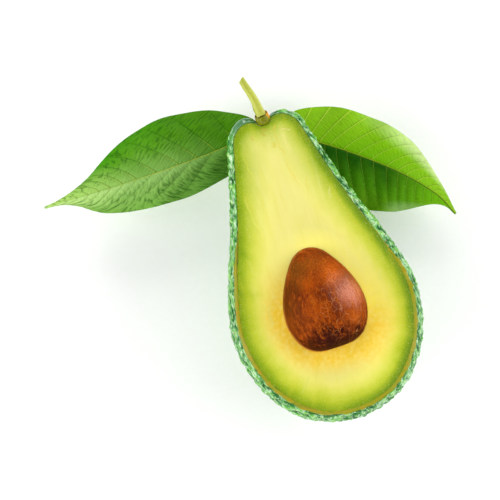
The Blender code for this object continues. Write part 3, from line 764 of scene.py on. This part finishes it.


# The worn and dark patches, and the painted highlight on the right flank, are laid on in turn.
for place, radii, share, tint in COAT_PATCHES_AND_HIGHLIGHT:
    paint = add_node(coat, "Mix", coat_patch(place, radii, share), paint, tint)
paint = tinted(coat, paint, "#642206", speck, 0.48, 0.64, 0.6)
low_end = add_node(coat, "Math", y, ragged, operation="ADD")
paint = tinted(coat, paint, "#2a0600", low_end, -0.0088, -0.0136, 0.92)
left_side = add_node(coat, "Math", x, ragged, operation="ADD")
most = add_node(coat, "MapRange", y, -0.0090, 0.0020, 0.3, 0.85)
paint = tinted(coat, paint, "#542800", left_side, -0.0060, -0.0115, most)
rim_place = add_node(coat, "Math", x, y, operation="ADD")
rim_place = add_node(coat, "MapRange", rim_place, -0.009, -0.016, 0.4, 0.85)
paint = tinted(coat, paint, "#a8682c", z, 0.0040, 0.0026, within=rim_place)
bent = add_node(coat, "TexNoise", centred, 1 / 0.0014, 2.0)
bend = add_node(coat, "VectorMath", bent.outputs["Color"], (0.0008,) * 3, operation="MULTIPLY")
bend = add_node(coat, "VectorMath", bend, centred, operation="ADD")
bend = add_node(coat, "Mapping", {"Vector": bend, "Scale": (1.0, 0.7, 1.0)})
net = add_node(coat, "TexVoronoi", bend, 1 / 0.0018, feature="DISTANCE_TO_EDGE")
hair = add_node(coat, "MapRange", net, 0.04, 0.0, 0.0, 0.65)
broken = add_node(coat, "TexNoise", centred, 1 / 0.0026, 4.0)
broken = add_node(coat, "MapRange", broken, 0.42, 0.56)
hair = add_node(coat, "Math", hair, broken, operation="MULTIPLY")
hair = add_node(coat, "Math", hair, coat_patch(*COAT_CRACKS), operation="MULTIPLY")
paint = add_node(coat, "Mix", hair, paint, "#cc8248")
drop = add_node(coat, "Math", streak, hair, operation="SUBTRACT")
relief = add_node(coat, "Bump", {"Height": drop, "Strength": 0.35, "Distance": 0.0002})
oiled = coat_patch(*COAT_SHINE)
gloss = add_node(coat, "MapRange", oiled, 0.0, 1.0, 0.65, 0.46)
shine = add_node(coat, "MapRange", oiled, 0.0, 1.0, 0.04, 0.5)
satin = {"Base Color": paint, "Roughness": gloss, "Normal": relief, "IOR": 1.5, "Specular IOR Level": shine}
add_node(coat, "OutputMaterial", add_node(coat, "BsdfPrincipled", satin))
seed.data.materials.append(coat)
settle(seed, "seed", 80)

# Stem button
# The small woody knob that the fruit hangs from, set in the fruit's dimple. The stem stands in a shallow cup
# in its top, inside a lumpy collar that has ripened orange at one side.
CUP_OUTLINE = (  # half width, and height from the rim, from its edge to the middle of the cup
    (0.00242, 0.00006), (0.00228, 0.00002), (0.00215, -0.0002), (0.00215, -0.0006), (0.00215, -0.0010),
    (0.0, -0.0010),
)
BUTTON_STEPS = 7
BUTTON_COLUMNS = 64
BUTTON_HALF_WIDTH = 0.0026
BUTTON_LUMPS = 0.00022
BUTTON_LUMP_LENGTH = 0.0016
BUTTON_LOBES = 3
COLLAR_TILT_SIDE = 0.14  # rise of the collar to the right, over its width
COLLAR_TILT_UP = 0.55  # and its slope towards the cut face, which opens the cup to the eye

rim = BUTTON_OUTLINE[-1][1]
side = smooth_curve(BUTTON_OUTLINE, BUTTON_STEPS)
rings = turned_rings(np.vstack([side, np.array(CUP_OUTLINE) + (0.0, rim)]), BUTTON_COLUMNS) + BUTTON_PLACE
for ring in rings[1:-len(CUP_OUTLINE)]:
    for point in ring:
        away = point - BUTTON_PLACE
        lobe = 0.5 * math.cos(BUTTON_LOBES * math.atan2(away[2], away[0]) + 0.6)
        lobe += noise.noise(Vector(point) / BUTTON_LUMP_LENGTH)
        for axis in (0, 2):
            point[axis] -= away[axis] / BUTTON_HALF_WIDTH * BUTTON_LUMPS * (0.6 - 0.6 * lobe)
for ring in rings[1:]:
    for point in ring:
        away = point - BUTTON_PLACE
        point[1] += (COLLAR_TILT_SIDE * away[0] - COLLAR_TILT_UP * away[2]) * smoothstep(away[1], 0.0, rim)
button = wrapped("woody_stem_button", rings)

# Young corky bark: olive and slightly oily, with pinhead pits, turning orange where it is ripest.
cork, spot = empty_tree(bpy.data.materials.new("stem_button_cork"))
centred = add_node(cork, "Mapping", {"Vector": spot, "Location": tuple(-BUTTON_PLACE)})
x, y, _ = add_node(cork, "SeparateXYZ", centred).outputs
pits = add_node(cork, "TexNoise", centred, 1 / 0.0006, 4.0)
paint = add_node(cork, "ValToRGB", pits, stops=((0.3, "#5c5c00"), (0.55, "#767c02"), (0.75, "#94900c")))
upward = add_node(cork, "MapRange", y, 0.0004, 0.0017)
upward = add_node(cork, "Math", upward, pits, operation="MULTIPLY")
upward = add_node(cork, "Math", upward, 1.4, operation="MULTIPLY", use_clamp=True)
paint = add_node(cork, "Mix", upward, paint, "#a8761c")
level = add_node(cork, "Mapping", {"Vector": centred, "Scale": (1.0, 0.0, 1.0)})
off_axis = add_node(cork, "VectorMath", level, operation="LENGTH").outputs["Value"]
inside = add_node(cork, "MapRange", y, 0.0, 0.0004)
paint = tinted(cork, paint, "#5a3210", off_axis, 0.0023, 0.0021, within=inside)
ripe = add_node(cork, "Math", y, 0.7, x, operation="MULTIPLY_ADD")
paint = tinted(cork, paint, "#cc8c0c", ripe, 0.0014, 0.0026)
relief = add_node(cork, "Bump", {"Height": pits, "Strength": 0.5, "Distance": 0.0002})
sheen = {"Base Color": paint, "Roughness": 0.42, "Normal": relief, "IOR": 1.45, "Specular IOR Level": 0.25}
add_node(cork, "OutputMaterial", add_node(cork, "BsdfPrincipled", sheen))
button.data.materials.append(cork)
settle(button, "stem_button", 70)

# Stem
# The green stalk, snipped off slantwise a centimetre and a half above the button. It is young wood, a little
# ribbed along its length, and thicker where it stands in the button's cup.
STEM_LINE = (
    (0.0, 0.0007, 0.0), (-0.0003, 0.0042, 0.0002), (-0.0010, 0.0085, 0.0006), (-0.0029, 0.0152, 0.0015),
)
STEM_RADII = (0.00178, 0.0016, 0.00148, 0.0014, 0.00135, 0.0013, 0.00126)
STEM_END_ROUNDING = (0.93, 0.76)  # width of its last two rings, as a share of the stem's
STEM_START = BUTTON_PLACE + (0.0, 0.0003, 0.0)
STEM_STEPS = 16
STEM_CUT_SLANT = math.radians(24)
STEM_CUT_ROWS = 12  # over which the rings lean over to the slant
STEM_COLUMNS = 48
STEM_ROWS = 60
STEM_RIBS = 7
STEM_RIB_HEIGHT = 0.00002
STEM_RADIUS = 0.0013


def rod_rings(curve, radii, columns, rows):
    """Rings along a rod, thicker or thinner along it, with a closing point at each end."""
    shares = np.linspace(0, 1, rows)
    places, headings = follow(curve, shares)
    width = np.interp(shares, np.linspace(0, 1, len(radii)), radii)[:, None, None]
    level = np.cross(headings, np.array((0.0, 0.0, 1.0)))
    steep = np.linalg.norm(level, axis=1) < 0.05
    level[steep] = np.cross(headings[steep], np.array((1.0, 0.0, 0.0)))
    level = unit(level)
    for index in range(1, rows):
        if level[index] @ level[index - 1] < 0:
            level[index] = -level[index]
    upright = np.cross(level, headings)
    around = (np.arange(columns) / columns * 2 * math.pi)[None, :, None]
    rings = places[:, None] + width * np.cos(around) * level[:, None]
    rings += width * np.sin(around) * upright[:, None]
    start, end = [np.repeat(place[None, None], columns, axis=1) for place in (places[0], places[-1])]
    return np.concatenate([start, rings, end])


stem_curve = smooth_curve(np.array(STEM_LINE) + STEM_START, STEM_STEPS)
rings = rod_rings(stem_curve, STEM_RADII, STEM_COLUMNS, STEM_ROWS)
heading = stem_curve[-1] - stem_curve[-2]
heading /= np.linalg.norm(heading)
slant = np.array(Matrix.Rotation(STEM_CUT_SLANT, 3, "Z") @ Vector(heading))
middles = rings.mean(axis=1, keepdims=True)
around = np.arange(STEM_COLUMNS) / STEM_COLUMNS * 2 * math.pi
ribs = STEM_RIB_HEIGHT / STEM_RADIUS * np.cos(STEM_RIBS * around)
rings[1:-1] += (rings - middles)[1:-1] * ribs[None, :, None]
for row, share in zip((-3, -2), STEM_END_ROUNDING):
    rings[row] = middles[row] + share * (rings[row] - middles[row])
for row in range(STEM_ROWS - STEM_CUT_ROWS, STEM_ROWS + 1):
    off = ((rings[row] - stem_curve[-1]) @ slant)[:, None]
    reach = ((middles[row] - stem_curve[-1]) @ slant)[:, None]
    blend = (row - (STEM_ROWS - STEM_CUT_ROWS)) / STEM_CUT_ROWS
    rings[row] -= blend * (off - reach) / (heading @ slant) * heading
stem = wrapped("cut_stem", rings)

# Young green bark: yellow green with fine lengthwise lines and a few pale specks. The snipped end is olive.
bark, spot = empty_tree(bpy.data.materials.new("green_stem_bark"))
_, y, _ = add_node(bark, "SeparateXYZ", spot).outputs
lengthwise = add_node(bark, "Mapping", {"Vector": spot, "Scale": (1.0, 0.18, 1.0)})
lines = add_node(bark, "TexNoise", lengthwise, 1 / 0.0005, 4.0)
specks = add_node(bark, "TexNoise", spot, 1 / 0.0007, 2.0)
paint = add_node(bark, "ValToRGB", lines, stops=((0.3, "#a6ac36"), (0.55, "#b1b640"), (0.75, "#b9be4a")))
paint = tinted(bark, paint, "#d4d688", specks, 0.62, 0.72, 0.3)
paint = tinted(bark, paint, "#969c2a", y, 0.0745, 0.0815, 0.6)
relief = add_node(bark, "Bump", {"Height": lines, "Strength": 0.4, "Distance": 0.00015})
young = {"Base Color": paint, "Roughness": 0.5, "Normal": relief, "IOR": 1.45}
add_node(bark, "OutputMaterial", add_node(bark, "BsdfPrincipled", young))
stem.data.materials.append(bark)
settle(stem, "stem", 50)

# Leaves
# Two avocado leaves, thin and leathery, on petioles that leave the underside of the stem. Side veins arch
# from the rib to the margin and the blade puffs up a little between them.
LEAVES = {  # margins give the half width at shares of the rib's length, and veins their roots on the same
    "leaf_left": {
        "from_cup": 0.0066,
        "petiole": (
            (-0.0002, 0.1165, 0.0320), (0.0006, 0.1150, 0.0250), (0.0018, 0.1132, 0.0205),
            (0.0022, 0.1116, 0.0188),
        ),
        "rib": (
            (0.0012, 0.1107, 0.0185), (-0.0120, 0.1085, 0.0195), (-0.0320, 0.1072, 0.0205),
            (-0.0580, 0.1074, 0.0175), (-0.0846, 0.1090, 0.0110),
        ),
        "left_margin": (
            (0.0, 0.0004), (0.04, 0.0045), (0.10, 0.0072), (0.22, 0.0098), (0.36, 0.0112), (0.50, 0.0112),
            (0.62, 0.0101), (0.69, 0.0092), (0.75, 0.0078), (0.80, 0.0056), (0.85, 0.0030), (0.92, 0.0009),
            (1.0, 0.0004),
        ),
        "right_margin": (
            (0.0, 0.0004), (0.03, 0.0060), (0.08, 0.0101), (0.17, 0.0147), (0.27, 0.0174), (0.38, 0.0189),
            (0.50, 0.0178), (0.60, 0.0152), (0.70, 0.0106), (0.78, 0.0062), (0.86, 0.0031), (0.94, 0.0011),
            (1.0, 0.0004),
        ),
        "falls": (0.50, 0.20),
        "sweeps": (0.55, 0.40),
        "veins": (
            (-0.05, 0.05, 0.15, 0.25, 0.34, 0.425, 0.52, 0.585)
            + (0.645, 0.70, 0.75, 0.80, 0.85, 0.90, 0.95, 1.0),
            (-0.06, 0.04, 0.13, 0.225, 0.31, 0.391, 0.494, 0.583)
            + (0.645, 0.70, 0.75, 0.80, 0.85, 0.90, 0.95, 1.0),
        ),
        "puff": 0.0009,
    },
    "leaf_right": {
        "from_cup": 0.0036,
        "petiole": ((0.0002, 0.1142, 0.0330), (0.0018, 0.1122, 0.0262), (0.0038, 0.1098, 0.0208)),
        "rib": (
            (0.0058, 0.1078, 0.0180), (0.0120, 0.1040, 0.0175), (0.0270, 0.0937, 0.0175),
            (0.0437, 0.0802, 0.0150), (0.0549, 0.0681, 0.0115), (0.0596, 0.0590, 0.0090),
        ),
        "left_margin": (
            (0.0, 0.0004), (0.03, 0.0061), (0.08, 0.0103), (0.20, 0.0140), (0.32, 0.0153), (0.44, 0.0152),
            (0.54, 0.0144), (0.63, 0.0127), (0.71, 0.0096), (0.81, 0.0055), (0.91, 0.0021), (1.0, 0.0004),
        ),
        "right_margin": (
            (0.0, 0.0004), (0.03, 0.0058), (0.10, 0.0100), (0.22, 0.0138), (0.36, 0.0158), (0.48, 0.0166),
            (0.57, 0.0168), (0.68, 0.0145), (0.75, 0.0115), (0.81, 0.0080), (0.87, 0.0042), (0.94, 0.0011),
            (1.0, 0.0004),
        ),
        "falls": (0.20, 0.32),
        "sweeps": (0.34, 0.26),
        "veins": (
            (-0.02, 0.045, 0.10, 0.155, 0.212, 0.266, 0.336, 0.41, 0.483)
            + (0.567, 0.628, 0.673, 0.738, 0.803, 0.84, 0.878, 0.915, 0.96, 1.0),
            (-0.02, 0.06, 0.12, 0.18, 0.24, 0.298, 0.354, 0.427, 0.495)
            + (0.567, 0.631, 0.683, 0.735, 0.787, 0.835, 0.88, 0.92, 0.96, 1.0),
        ),
        "puff": 0.00032,
    },
}
LEAF_TONES = {  # each half: at the rib, midway, at the margin, then at the stem's end and at the tip
    "leaf_left": {
        "name": "puckered_leaf_top",
        # This half's pale grey green is partly its own colour and partly a painted sheen from its gloss.
        "left": ("#8ab45e", "#82b052", "#78aa44", "#5c9030", "#b8dc80"),
        "right": ("#76a448", "#559318", "#3f8c06", "#468208", "#a8d068"),
        "vein": ("#aebc38", 0.7, 0.25),
        "halves": (1.0, 0.4),
        "rib": ("#b4c03c", 0.7, 0.0),
        "shadow_shares": (0.5, 0.15),
        "crease_shade": 0.6,
        "pucker": 1.0,
        "painted_sheens": (),
    },
    "leaf_right": {
        "name": "glossy_leaf_top",
        "left": ("#6cac04", "#7ab408", "#8cc024", "#7ab010", "#88be20"),
        # This half is painted dark green at the rib and darkest at the stem's end: painted shadow of the
        # fruit's neck.
        "right": ("#1e5600", "#4c8a06", "#6ca212", "#185206", "#6cb008"),
        "vein": ("#bed048", 0.65, 1.0),
        "halves": (0.3, 1.0),
        "rib": ("#bcc828", 0.4, 0.8),
        "shadow_shares": (0.3, 0.9),
        "crease_shade": 0.14,
        "pucker": 0.4,
        # Painted sheens: pale patches where the blade's gloss catches the light.
        "painted_sheens": (
            ((1.08, 0.58), (0.62, 0.38), 0.8, "#cee49c"),
            ((-0.95, 0.66), (0.32, 0.16), 0.45, "#a8c884"),
        ),
    },
}
LEAF_ROWS = 360
LEAF_COLUMNS = 96
LEAF_THICKNESS = 0.0005
LEAF_ARCH = 1.2
LEAF_FOLD = 0.4
LEAF_WAVE = 0.0009
LEAF_WAVES = 4.5
GROOVE_DEPTH = 0.00022
GROOVE_WIDTH = 0.0005
PETIOLE_RADIUS = 0.0009
PETIOLE_START = 0.0012  # below the middle of the stem
RIDGE_MARKS = 60  # along petiole and rib, where their thickness is given
RIDGE_SIZE = (16, 120)  # columns and rows of their mesh
RIB_TIP_RADIUS = 0.0003
RIB_SUNK = 0.0011
RIB_END = 0.96
RUNG_SLANT = 0.043  # of the creases that cross from vein to vein


def leaf_top(tones):
    """The leathery upper face of a leaf: pale veins beside painted shadows, rungs of creases painted dark as
    shade, and pale patches of painted sheen.
    """
    blade, spot = empty_tree(bpy.data.materials.new(tones["name"]))
    across, phase, spacing, to_rib, row = [
        add_node(blade, "Attribute", attribute_name=name).outputs["Fac"]
        for name in ("across", "phase", "spacing", "to_rib", "row")
    ]
    out = add_node(blade, "Math", across, operation="ABSOLUTE")
    off_rib = add_node(blade, "Math", to_rib, operation="ABSOLUTE")
    which = add_node(blade, "MapRange", across, -0.02, 0.02)
    cloud = add_node(blade, "TexNoise", spot, 1 / 0.007, 4.0)
    cells = add_node(blade, "TexNoise", spot, 1 / 0.0006, 3.0)
    counted = add_node(blade, "Math", phase, 2.0, operation="MULTIPLY")
    crossing = add_node(blade, "Math", row, RUNG_SLANT, off_rib, operation="MULTIPLY_ADD")
    crossing = add_node(blade, "Math", crossing, 1 / 0.0005, operation="MULTIPLY")
    ladder = add_node(blade, "CombineXYZ", counted, crossing, which)
    rungs = add_node(blade, "TexNoise", ladder, 1.0, 2.0)
    tone = add_node(blade, "Math", cloud, 0.5, -0.25, operation="MULTIPLY_ADD")
    tone = add_node(blade, "Math", out, tone, operation="ADD")
    halves = []
    for half in (tones["right"], tones["left"]):
        body = add_node(blade, "ValToRGB", tone, stops=tuple(zip((0.1, 0.55, 0.95), half)))
        body = tinted(blade, body, half[3], row, 0.42, 0.16)
        halves.append(tinted(blade, body, half[4], row, 0.55, 0.92))
    paint = add_node(blade, "Mix", which, *halves)
    layout = add_node(blade, "CombineXYZ", across, row)
    # Each painted sheen is a soft pale patch that stands for the gloss where the blade catches the light.
    for place, (wide, long), share, tint in tones["painted_sheens"]:
        apart = {"Vector": layout, "Location": (*place, 0), "Scale": (wide, long, 1)}
        apart = add_node(blade, "Mapping", apart, vector_type="TEXTURE")
        apart = add_node(blade, "VectorMath", apart, operation="LENGTH").outputs["Value"]
        glow = add_node(blade, "MapRange", apart, 1.0, 0.2, 0.0, share, interpolation_type="SMOOTHSTEP")
        paint = add_node(blade, "Mix", glow, paint, tint)
    # Painted shade in the creases: dark rungs that cross from vein to vein where the blade puckers.
    outer = add_node(blade, "MapRange", out, 0.12, 0.5, 0.0, tones["crease_shade"])
    paint = tinted(blade, paint, "#235a06", rungs, 0.48, 0.38, within=outer)
    offset = phase
    for operation, value in (("ADD", 0.5), ("FRACT", 0.0), ("SUBTRACT", 0.5), ("MULTIPLY", spacing)):
        offset = add_node(blade, "Math", offset, value, operation=operation)
    # Painted shadow: a dark line beside each vein, on one side of it.
    beside = add_node(blade, "Math", offset, 0.0003, operation="ADD")
    beside = add_node(blade, "Math", beside, operation="ABSOLUTE")
    vein_shadow_share, rib_shade_share = tones["shadow_shares"]
    inward = add_node(blade, "MapRange", out, 0.98, 0.75)
    paint = tinted(blade, paint, "#235a06", beside, 0.0004, 0.0001, vein_shadow_share, within=inward)
    tint, share, reach = tones["vein"]
    weak, strong = tones["halves"]
    vein = add_node(blade, "Math", offset, operation="ABSOLUTE")
    vein = add_node(blade, "MapRange", vein, 0.00018, 0.00004, 0.0, share)
    strength = add_node(blade, "Math", which, strong - weak, weak, operation="MULTIPLY_ADD")
    vein = add_node(blade, "Math", vein, strength, operation="MULTIPLY")
    ending = add_node(blade, "MapRange", out, reach + 0.2, reach)
    vein = add_node(blade, "Math", vein, ending, operation="MULTIPLY")
    paint = add_node(blade, "Mix", vein, paint, tint)
    # Painted shade: a dark line along the rib's groove, just to one side of the rib.
    groove = add_node(blade, "Math", to_rib, 0.00022, operation="ADD")
    groove = add_node(blade, "Math", groove, operation="ABSOLUTE")
    paint = tinted(blade, paint, "#2c5406", groove, 0.0004, 0.0001, rib_shade_share)
    tint, share, least = tones["rib"]
    ending = add_node(blade, "MapRange", row, 0.75, 0.5)
    ending = add_node(blade, "Math", ending, least, operation="MAXIMUM")
    paint = tinted(blade, paint, tint, off_rib, 0.00024, 0.0001, share, within=ending)
    relief = add_node(blade, "Bump", {"Height": cells, "Strength": 0.3, "Distance": 0.00015})
    relief = {"Height": rungs, "Normal": relief, "Strength": tones["pucker"], "Distance": 0.0006}
    relief = add_node(blade, "Bump", relief)
    gloss = add_node(blade, "MapRange", cloud, 0.0, 1.0, 0.44, 0.62)
    leathery = {"Base Color": paint, "Roughness": gloss, "Normal": relief, "IOR": 1.45}
    leathery["Specular IOR Level"] = 0.07
    add_node(blade, "OutputMaterial", add_node(blade, "BsdfPrincipled", leathery))
    return blade


# The underside of a leaf: matt, and paler than the top, with faint clouds of green.
underside, spot = empty_tree(bpy.data.materials.new("leaf_underside"))
cloud = add_node(underside, "TexNoise", spot, 1 / 0.004, 4.0)
paint = add_node(underside, "ValToRGB", cloud, stops=((0.3, "#649a3c"), (0.7, "#84b258")))
matt = {"Base Color": paint, "Roughness": 0.65, "Specular IOR Level": 0.12}
add_node(underside, "OutputMaterial", add_node(underside, "BsdfPrincipled", matt))

# Petiole and rib: smooth, juicy and yellow green.
stalk, spot = empty_tree(bpy.data.materials.new("leaf_petiole"))
lines = add_node(stalk, "TexNoise", spot, 1 / 0.0012, 3.0)
paint = add_node(stalk, "ValToRGB", lines, stops=((0.3, "#8a9c2a"), (0.7, "#b3bd4c")))
juicy = {"Base Color": paint, "Roughness": 0.45, "Specular IOR Level": 0.2}
add_node(stalk, "OutputMaterial", add_node(stalk, "BsdfPrincipled", juicy))

for name, shape in LEAVES.items():
    rib = smooth_curve(np.array(shape["rib"]) - (0, REST_ALONG, 0), 12)
    grid = {"x_subdivisions": LEAF_ROWS, "y_subdivisions": LEAF_COLUMNS, "size": 2}
    leaf = add_object(f"{name}_blade", bpy.ops.mesh.primitive_grid_add, **grid)
    flat = points_of(leaf)
    row = (flat[:, 0] + 1) / 2
    across = flat[:, 1]
    out = np.abs(across)
    on_left = across > 0
    sweep = np.where(on_left, *shape["sweeps"]) * smoothstep(row, 0.0, 0.5)
    share = row + sweep * out**LEAF_ARCH * (1 - row)
    middle, heading = follow(rib, share)
    left = unit(np.stack([-heading[:, 1], heading[:, 0], np.zeros(len(row))], axis=-1))
    margins = [smooth_curve(shape[side], 8) for side in ("left_margin", "right_margin")]
    width = np.where(on_left, *[np.interp(share, margin[:, 0], margin[:, 1]) for margin in margins])
    breadth = width / np.where(on_left, *[margin[:, 1].max() for margin in margins])
    fall = np.where(on_left, *shape["falls"]) * width * breadth * (LEAF_FOLD * out + (1 - LEAF_FOLD) * out**2)
    side = np.where(on_left, 0, 2)
    wave = LEAF_WAVE * out**3 * breadth**2 * np.sin(2 * math.pi * LEAF_WAVES * share + side)
    phase = np.where(on_left, *[np.interp(row, roots, np.arange(len(roots))) for roots in shape["veins"]])
    spacing = np.where(on_left, *[np.interp(row, roots, np.gradient(roots)) for roots in shape["veins"]])
    between = np.abs(((phase + 0.5) % 1) - 0.5)
    puff = shape["puff"] * np.sin(math.pi * between) * np.sin(math.pi * np.clip(out, 0, 1)) * breadth
    groove = GROOVE_DEPTH * np.exp(-((out * width / GROOVE_WIDTH) ** 2)) * breadth
    places = middle + left * (across * width)[:, None]
    places[:, 2] += puff + wave - fall - groove
    move_points(leaf, places)
    give_attribute(leaf, "across", across)
    give_attribute(leaf, "phase", phase)
    give_attribute(leaf, "spacing", spacing * steps_of(rib).sum())
    give_attribute(leaf, "to_rib", across * width)
    give_attribute(leaf, "row", row)
    for material in (leaf_top(LEAF_TONES[name]), underside, stalk):
        leaf.data.materials.append(material)
    solidify = leaf.modifiers.new("thickness", "SOLIDIFY")
    solidify.thickness = LEAF_THICKNESS
    solidify.offset = 0.0
    solidify.material_offset = 1
    solidify.use_even_offset = False
    bpy.ops.object.modifier_apply(modifier="thickness")

    joint = follow(stem_curve, np.array([shape["from_cup"] / steps_of(stem_curve).sum()]))[0][0]
    start = joint - (0, 0, PETIOLE_START)
    under_rib = follow(rib, np.linspace(0, RIB_END, 24))[0] - (0.0, 0.0, RIB_SUNK)
    petiole = np.array(shape["petiole"]) - (0, REST_ALONG, 0)
    hanging = smooth_curve([start, *petiole, under_rib[0]], 10)
    line = np.vstack([hanging, under_rib[1:]])
    marks = (0, steps_of(hanging).sum() / steps_of(line).sum(), 1)
    radii = (PETIOLE_RADIUS, PETIOLE_RADIUS, RIB_TIP_RADIUS)
    radii = np.interp(np.linspace(0, 1, RIDGE_MARKS), marks, radii)
    ridge = wrapped(f"{name}_rib", rod_rings(line, radii, *RIDGE_SIZE))
    ridge.data.materials.append(stalk)
    choose(leaf, ridge)
    bpy.ops.object.join()
    settle(leaf, name, 60)
